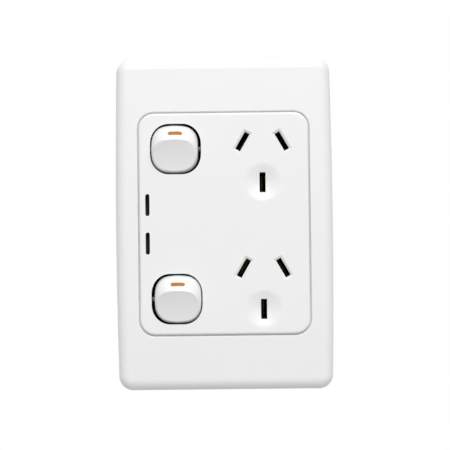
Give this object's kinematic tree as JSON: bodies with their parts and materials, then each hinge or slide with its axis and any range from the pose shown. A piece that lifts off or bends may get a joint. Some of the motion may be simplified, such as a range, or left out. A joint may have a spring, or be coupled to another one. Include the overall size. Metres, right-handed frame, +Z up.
{
  "type": "switched double socket",
  "caption": "Upright wall plate with a pair of flat three-pin sockets beside barrel rocker switches, a clip-on white surround, and contacts, terminals and housing behind.",
  "frame": {"origin": "middle of the plate on the wall plane, midway between the wall screw holes", "axes": "+Z up the plate, +X to the right seen from the room, +Y into the wall"},
  "size_m": [0.076, 0.0401, 0.116],
  "materials": {
    "white_moulding": "moulded semi-gloss white thermoplastic",
    "rocker_white": "moulded semi-gloss white thermoplastic",
    "orange_insert": "moulded orange insert",
    "charcoal_moulding": "moulded dark thermoset, fine matt texture",
    "plunger_acetal": "natural acetal",
    "spring_steel": "drawn spring wire",
    "contact_brass": "stamped brass strip",
    "contact_silver": "silver alloy",
    "terminal_brass": "machined brass",
    "zinc_steel": "zinc plated steel"
  },
  "bodies": {
    "base": {"face_plate": "white_moulding", "rear_housing": "charcoal_moulding", "upper_active_contact": "contact_brass", "lower_active_contact": "contact_brass", "active_bar": "contact_brass", "neutral_bar": "contact_brass", "earth_bar": "contact_brass", "fixed_tips": "contact_silver", "active_terminal": "terminal_brass", "neutral_terminal": "terminal_brass", "earth_terminal": "terminal_brass", "terminal_screws": "zinc_steel", "housing_screws": "zinc_steel"},
    "surround": {"surround": "white_moulding"},
    "upper_rocker": {"upper_rocker": "rocker_white", "upper_rocker_mark": "orange_insert", "upper_spring": "spring_steel"},
    "upper_plunger": {"upper_plunger": "plunger_acetal"},
    "upper_seesaw": {"upper_moving_contact": "contact_brass", "upper_moving_tip": "contact_silver"},
    "lower_rocker": {"lower_rocker": "rocker_white", "lower_rocker_mark": "orange_insert", "lower_spring": "spring_steel"},
    "lower_plunger": {"lower_plunger": "plunger_acetal"},
    "lower_seesaw": {"lower_moving_contact": "contact_brass", "lower_moving_tip": "contact_silver"}
  },
  "joints": [
    {"name": "surround_lift", "type": "slide", "parent": "base", "child": "surround", "axis": [0, -1, 0], "range_m": [0, 0.03]},
    {"name": "upper_rocker_pivot", "type": "hinge", "parent": "base", "child": "upper_rocker", "pos_m": [-0.017, -0.0067, 0.0261], "axis": [1, 0, 0], "range_deg": [-44, 0]},
    {"name": "upper_seesaw_pivot", "type": "hinge", "parent": "base", "child": "upper_seesaw", "pos_m": [-0.0167, 0.0041, 0.0261], "axis": [1, 0, 0], "range_deg": [0, 16]},
    {"name": "upper_plunger_slide", "type": "slide", "parent": "upper_rocker", "child": "upper_plunger", "axis": [0, -0.9272, -0.3746], "range_m": [0, 0.0008], "stiffness_N_per_m": 250, "deforming": ["upper_spring"]},
    {"name": "lower_rocker_pivot", "type": "hinge", "parent": "base", "child": "lower_rocker", "pos_m": [-0.01635, -0.0067, -0.0261], "axis": [1, 0, 0], "range_deg": [-44, 0]},
    {"name": "lower_seesaw_pivot", "type": "hinge", "parent": "base", "child": "lower_seesaw", "pos_m": [-0.0167, 0.0041, -0.0261], "axis": [1, 0, 0], "range_deg": [0, 16]},
    {"name": "lower_plunger_slide", "type": "slide", "parent": "lower_rocker", "child": "lower_plunger", "axis": [0, -0.9272, -0.3746], "range_m": [0, 0.0008], "stiffness_N_per_m": 250, "deforming": ["lower_spring"]}
  ],
  "couplings": [
    {"joint": "upper_seesaw_pivot", "follows": "upper_rocker_pivot", "ratio": -0.36364},
    {"joint": "lower_seesaw_pivot", "follows": "lower_rocker_pivot", "ratio": -0.36364}
  ]
}
